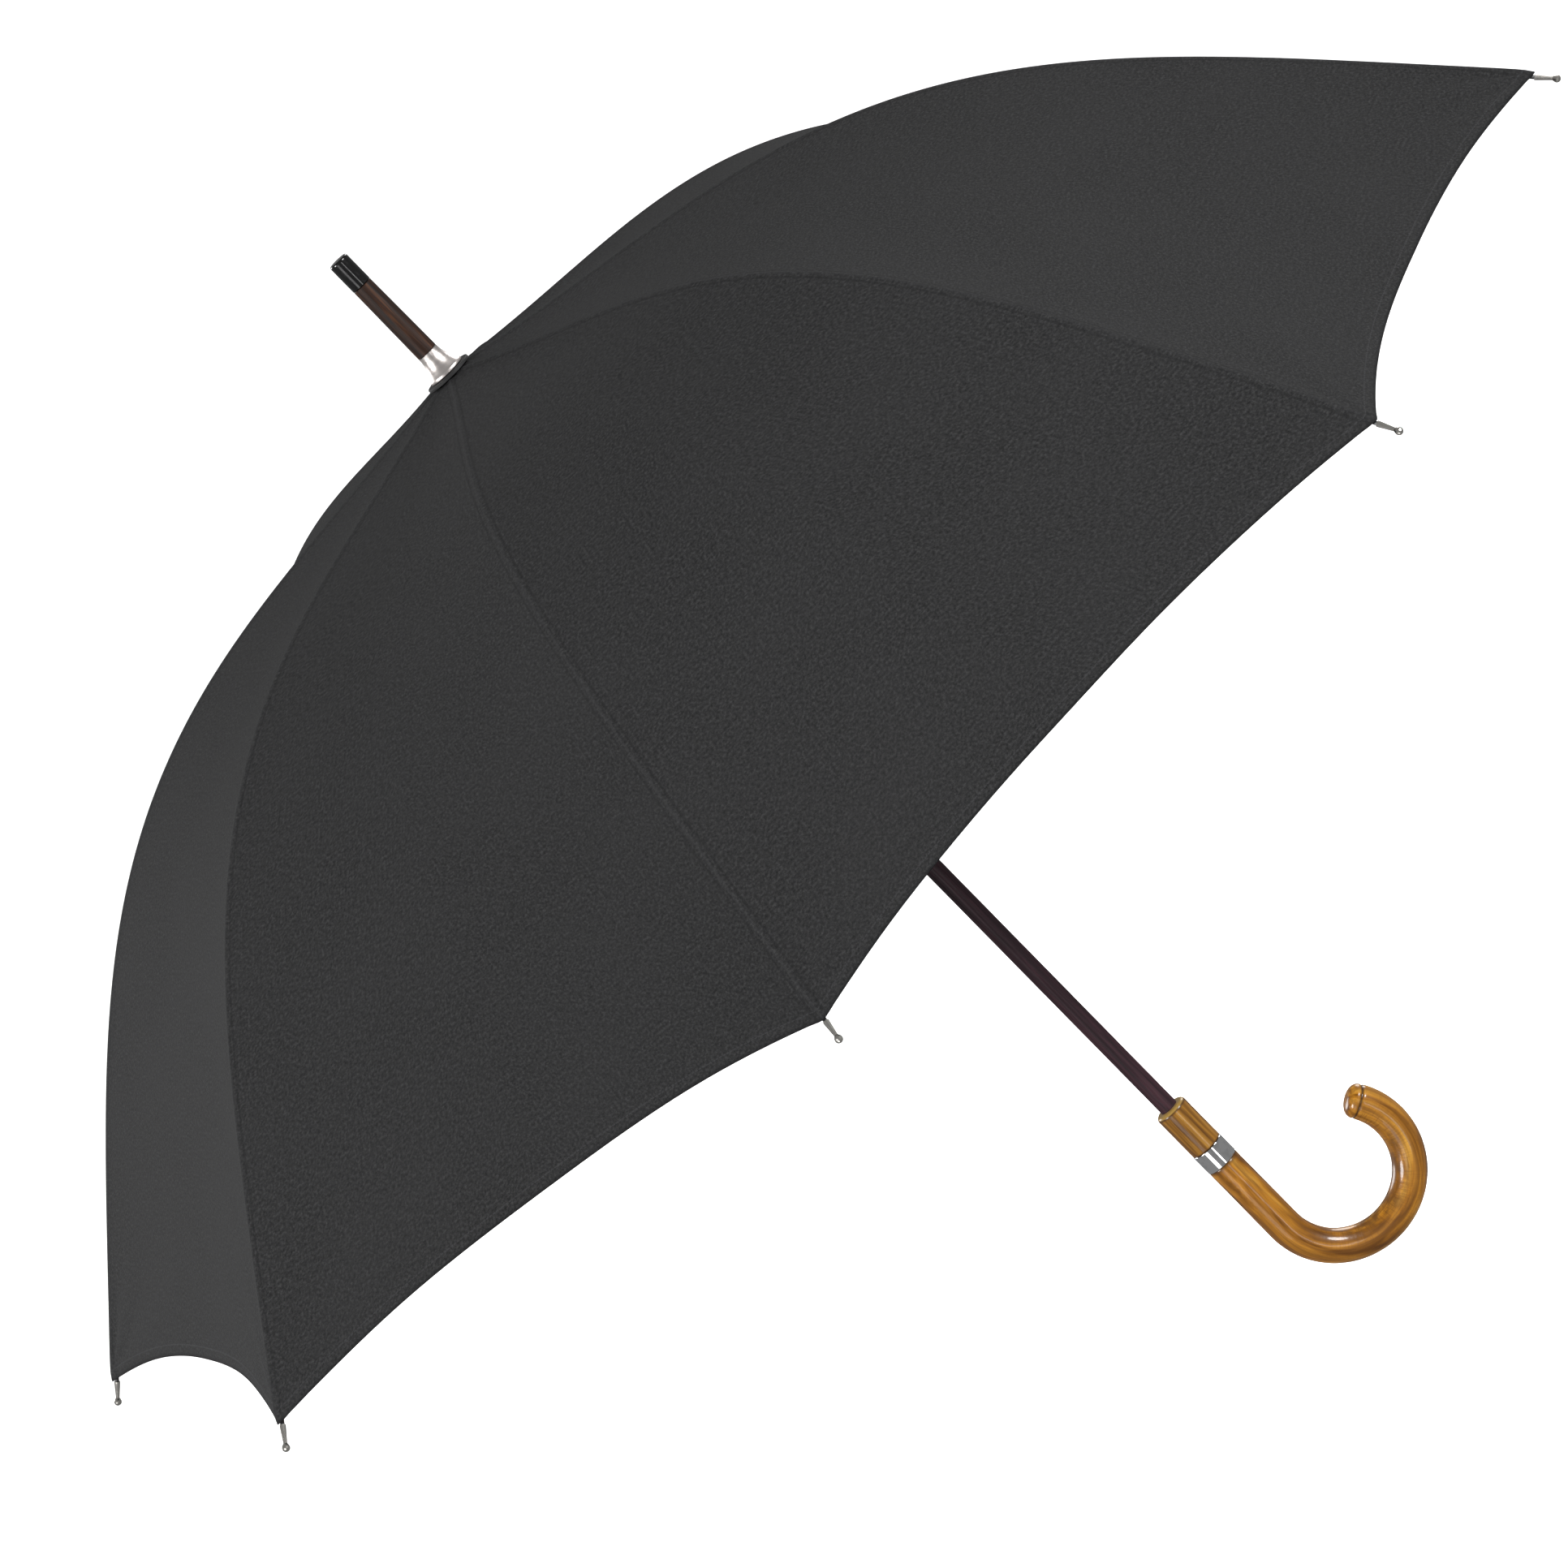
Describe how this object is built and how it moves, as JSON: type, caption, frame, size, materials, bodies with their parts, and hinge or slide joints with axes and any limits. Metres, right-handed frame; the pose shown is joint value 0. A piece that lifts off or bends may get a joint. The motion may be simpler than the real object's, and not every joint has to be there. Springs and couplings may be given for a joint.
{
  "type": "stick umbrella",
  "caption": "Open stick umbrella with a domed cloth canopy on curved ribs, a folding frame on a runner, a long ferrule with a flared foot and a hooked wooden handle.",
  "frame": {"origin": "on the shaft's axis, in the middle of the straight wooden grip, where a hand holds it", "axes": "+Z along the shaft towards the ferrule; the crook bends to +X"},
  "size_m": [1.1986, 1.1986, 0.8997],
  "materials": {
    "maple": "gloss",
    "polished_steel": "polished",
    "stained_wood": "satin",
    "spring_steel": "satin",
    "black_nylon": "satin",
    "nickel": "polished",
    "canopy_cloth": "matte",
    "washer_leather": "satin",
    "walnut": "satin",
    "black_lacquer": "gloss",
    "black_steel": "satin"
  },
  "bodies": {
    "shaft": {"shaft": "stained_wood", "notch": "black_nylon", "crown_washer": "washer_leather", "ferrule_flare": "polished_steel", "wood_ferrule": "walnut", "ferrule_cap": "black_lacquer", "handle_collar": "maple", "handle_ring": "polished_steel", "crook": "maple"},
    "runner": {"runner": "nickel"},
    "top_catch": {"top_catch": "spring_steel"},
    "bottom_catch": {"bottom_catch": "spring_steel"},
    "rib_1": {"rib_1_inner": "black_steel", "canopy_1_upper": "canopy_cloth"},
    "rib_end_1": {"rib_1_outer": "black_steel", "rib_tip_1": "nickel", "canopy_1_lower": "canopy_cloth"},
    "stretcher_1": {"stretcher_1": "black_steel"},
    "rib_2": {"rib_2_inner": "black_steel", "canopy_2_upper": "canopy_cloth"},
    "rib_end_2": {"rib_2_outer": "black_steel", "rib_tip_2": "nickel", "canopy_2_lower": "canopy_cloth"},
    "stretcher_2": {"stretcher_2": "black_steel"},
    "rib_3": {"rib_3_inner": "black_steel", "canopy_3_upper": "canopy_cloth"},
    "rib_end_3": {"rib_3_outer": "black_steel", "rib_tip_3": "nickel", "canopy_3_lower": "canopy_cloth"},
    "stretcher_3": {"stretcher_3": "black_steel"},
    "rib_4": {"rib_4_inner": "black_steel", "canopy_4_upper": "canopy_cloth"},
    "rib_end_4": {"rib_4_outer": "black_steel", "rib_tip_4": "nickel", "canopy_4_lower": "canopy_cloth"},
    "stretcher_4": {"stretcher_4": "black_steel"},
    "rib_5": {"rib_5_inner": "black_steel", "canopy_5_upper": "canopy_cloth"},
    "rib_end_5": {"rib_5_outer": "black_steel", "rib_tip_5": "nickel", "canopy_5_lower": "canopy_cloth"},
    "stretcher_5": {"stretcher_5": "black_steel"},
    "rib_6": {"rib_6_inner": "black_steel", "canopy_6_upper": "canopy_cloth"},
    "rib_end_6": {"rib_6_outer": "black_steel", "rib_tip_6": "nickel", "canopy_6_lower": "canopy_cloth"},
    "stretcher_6": {"stretcher_6": "black_steel"},
    "rib_7": {"rib_7_inner": "black_steel", "canopy_7_upper": "canopy_cloth"},
    "rib_end_7": {"rib_7_outer": "black_steel", "rib_tip_7": "nickel", "canopy_7_lower": "canopy_cloth"},
    "stretcher_7": {"stretcher_7": "black_steel"},
    "rib_8": {"rib_8_inner": "black_steel", "canopy_8_upper": "canopy_cloth"},
    "rib_end_8": {"rib_8_outer": "black_steel", "rib_tip_8": "nickel", "canopy_8_lower": "canopy_cloth"},
    "stretcher_8": {"stretcher_8": "black_steel"}
  },
  "joints": [
    {"name": "fold", "type": "hinge", "parent": "shaft", "child": "rib_1", "pos_m": [0.01083, -0.00191, 0.7136], "axis": [0.1736, 0.9848, 0], "range_deg": [0, 75.94], "deforming": ["canopy_1_upper", "canopy_1_lower", "canopy_2_upper", "canopy_2_lower", "canopy_3_upper", "canopy_3_lower", "canopy_4_upper", "canopy_4_lower", "canopy_5_upper", "canopy_5_lower", "canopy_6_upper", "canopy_6_lower", "canopy_7_upper", "canopy_7_lower", "canopy_8_upper", "canopy_8_lower", "top_catch", "bottom_catch"]},
    {"name": "rib_1_bend", "type": "hinge", "parent": "rib_1", "child": "rib_end_1", "pos_m": [0.28659, -0.05053, 0.66305], "axis": [0.1736, 0.9848, 0], "range_deg": [-30.95, 0.2]},
    {"name": "stretcher_1_fold", "type": "hinge", "parent": "rib_1", "child": "stretcher_1", "pos_m": [0.27877, -0.04916, 0.65792], "axis": [0.1736, 0.9848, 0], "range_deg": [-152.07, 0.2]},
    {"name": "rib_2_fold", "type": "hinge", "parent": "shaft", "child": "rib_2", "pos_m": [0.00631, -0.00901, 0.7136], "axis": [0.8192, 0.5736, 0], "range_deg": [-0.2, 76.14]},
    {"name": "rib_2_bend", "type": "hinge", "parent": "rib_2", "child": "rib_end_2", "pos_m": [0.16692, -0.23838, 0.66305], "axis": [0.8192, 0.5736, 0], "range_deg": [-30.95, 0.2]},
    {"name": "stretcher_2_fold", "type": "hinge", "parent": "rib_2", "child": "stretcher_2", "pos_m": [0.16237, -0.23188, 0.65792], "axis": [0.8192, 0.5736, 0], "range_deg": [-152.07, 0.2]},
    {"name": "rib_3_fold", "type": "hinge", "parent": "shaft", "child": "rib_3", "pos_m": [-0.00191, -0.01083, 0.7136], "axis": [0.9848, -0.1736, 0], "range_deg": [-0.2, 76.14]},
    {"name": "rib_3_bend", "type": "hinge", "parent": "rib_3", "child": "rib_end_3", "pos_m": [-0.05053, -0.28659, 0.66305], "axis": [0.9848, -0.1736, 0], "range_deg": [-30.95, 0.2]},
    {"name": "stretcher_3_fold", "type": "hinge", "parent": "rib_3", "child": "stretcher_3", "pos_m": [-0.04916, -0.27877, 0.65792], "axis": [0.9848, -0.1736, 0], "range_deg": [-152.07, 0.2]},
    {"name": "rib_4_fold", "type": "hinge", "parent": "shaft", "child": "rib_4", "pos_m": [-0.00901, -0.00631, 0.7136], "axis": [0.5736, -0.8192, 0], "range_deg": [-0.2, 76.14]},
    {"name": "rib_4_bend", "type": "hinge", "parent": "rib_4", "child": "rib_end_4", "pos_m": [-0.23838, -0.16692, 0.66305], "axis": [0.5736, -0.8192, 0], "range_deg": [-30.95, 0.2]},
    {"name": "stretcher_4_fold", "type": "hinge", "parent": "rib_4", "child": "stretcher_4", "pos_m": [-0.23188, -0.16237, 0.65792], "axis": [0.5736, -0.8192, 0], "range_deg": [-152.07, 0.2]},
    {"name": "rib_5_fold", "type": "hinge", "parent": "shaft", "child": "rib_5", "pos_m": [-0.01083, 0.00191, 0.7136], "axis": [-0.1736, -0.9848, 0], "range_deg": [-0.2, 76.14]},
    {"name": "rib_5_bend", "type": "hinge", "parent": "rib_5", "child": "rib_end_5", "pos_m": [-0.28659, 0.05053, 0.66305], "axis": [-0.1736, -0.9848, 0], "range_deg": [-30.95, 0.2]},
    {"name": "stretcher_5_fold", "type": "hinge", "parent": "rib_5", "child": "stretcher_5", "pos_m": [-0.27877, 0.04916, 0.65792], "axis": [-0.1736, -0.9848, 0], "range_deg": [-152.07, 0.2]},
    {"name": "rib_6_fold", "type": "hinge", "parent": "shaft", "child": "rib_6", "pos_m": [-0.00631, 0.00901, 0.7136], "axis": [-0.8192, -0.5736, 0], "range_deg": [-0.2, 76.14]},
    {"name": "rib_6_bend", "type": "hinge", "parent": "rib_6", "child": "rib_end_6", "pos_m": [-0.16692, 0.23838, 0.66305], "axis": [-0.8192, -0.5736, 0], "range_deg": [-30.95, 0.2]},
    {"name": "stretcher_6_fold", "type": "hinge", "parent": "rib_6", "child": "stretcher_6", "pos_m": [-0.16237, 0.23188, 0.65792], "axis": [-0.8192, -0.5736, 0], "range_deg": [-152.07, 0.2]},
    {"name": "rib_7_fold", "type": "hinge", "parent": "shaft", "child": "rib_7", "pos_m": [0.00191, 0.01083, 0.7136], "axis": [-0.9848, 0.1736, 0], "range_deg": [-0.2, 76.14]},
    {"name": "rib_7_bend", "type": "hinge", "parent": "rib_7", "child": "rib_end_7", "pos_m": [0.05053, 0.28659, 0.66305], "axis": [-0.9848, 0.1736, 0], "range_deg": [-30.95, 0.2]},
    {"name": "stretcher_7_fold", "type": "hinge", "parent": "rib_7", "child": "stretcher_7", "pos_m": [0.04916, 0.27877, 0.65792], "axis": [-0.9848, 0.1736, 0], "range_deg": [-152.07, 0.2]},
    {"name": "rib_8_fold", "type": "hinge", "parent": "shaft", "child": "rib_8", "pos_m": [0.00901, 0.00631, 0.7136], "axis": [-0.5736, 0.8192, 0], "range_deg": [-0.2, 76.14]},
    {"name": "rib_8_bend", "type": "hinge", "parent": "rib_8", "child": "rib_end_8", "pos_m": [0.23838, 0.16692, 0.66305], "axis": [-0.5736, 0.8192, 0], "range_deg": [-30.95, 0.2]},
    {"name": "stretcher_8_fold", "type": "hinge", "parent": "rib_8", "child": "stretcher_8", "pos_m": [0.23188, 0.16237, 0.65792], "axis": [-0.5736, 0.8192, 0], "range_deg": [-152.07, 0.2]},
    {"name": "runner_turn", "type": "hinge", "parent": "stretcher_1", "child": "runner", "pos_m": [0.01083, -0.00191, 0.60225], "axis": [0.1736, 0.9848, 0], "range_deg": [-0.2, 76.14]},
    {"name": "top_catch_press", "type": "slide", "parent": "shaft", "child": "top_catch", "axis": [0, -1, 0], "range_m": [0, 0.003], "stiffness_N_per_m": 400, "springref_m": -0.003},
    {"name": "bottom_catch_press", "type": "slide", "parent": "shaft", "child": "bottom_catch", "axis": [0, -1, 0], "range_m": [0, 0.003], "stiffness_N_per_m": 400, "springref_m": -0.003}
  ],
  "couplings": [
    {"joint": "rib_1_bend", "follows": "fold", "ratio": -0.40495},
    {"joint": "stretcher_1_fold", "follows": "fold", "ratio": -2},
    {"joint": "rib_2_fold", "follows": "fold", "ratio": 1},
    {"joint": "rib_2_bend", "follows": "fold", "ratio": -0.40495},
    {"joint": "stretcher_2_fold", "follows": "fold", "ratio": -2},
    {"joint": "rib_3_fold", "follows": "fold", "ratio": 1},
    {"joint": "rib_3_bend", "follows": "fold", "ratio": -0.40495},
    {"joint": "stretcher_3_fold", "follows": "fold", "ratio": -2},
    {"joint": "rib_4_fold", "follows": "fold", "ratio": 1},
    {"joint": "rib_4_bend", "follows": "fold", "ratio": -0.40495},
    {"joint": "stretcher_4_fold", "follows": "fold", "ratio": -2},
    {"joint": "rib_5_fold", "follows": "fold", "ratio": 1},
    {"joint": "rib_5_bend", "follows": "fold", "ratio": -0.40495},
    {"joint": "stretcher_5_fold", "follows": "fold", "ratio": -2},
    {"joint": "rib_6_fold", "follows": "fold", "ratio": 1},
    {"joint": "rib_6_bend", "follows": "fold", "ratio": -0.40495},
    {"joint": "stretcher_6_fold", "follows": "fold", "ratio": -2},
    {"joint": "rib_7_fold", "follows": "fold", "ratio": 1},
    {"joint": "rib_7_bend", "follows": "fold", "ratio": -0.40495},
    {"joint": "stretcher_7_fold", "follows": "fold", "ratio": -2},
    {"joint": "rib_8_fold", "follows": "fold", "ratio": 1},
    {"joint": "rib_8_bend", "follows": "fold", "ratio": -0.40495},
    {"joint": "stretcher_8_fold", "follows": "fold", "ratio": -2},
    {"joint": "runner_turn", "follows": "fold", "ratio": 1}
  ]
}
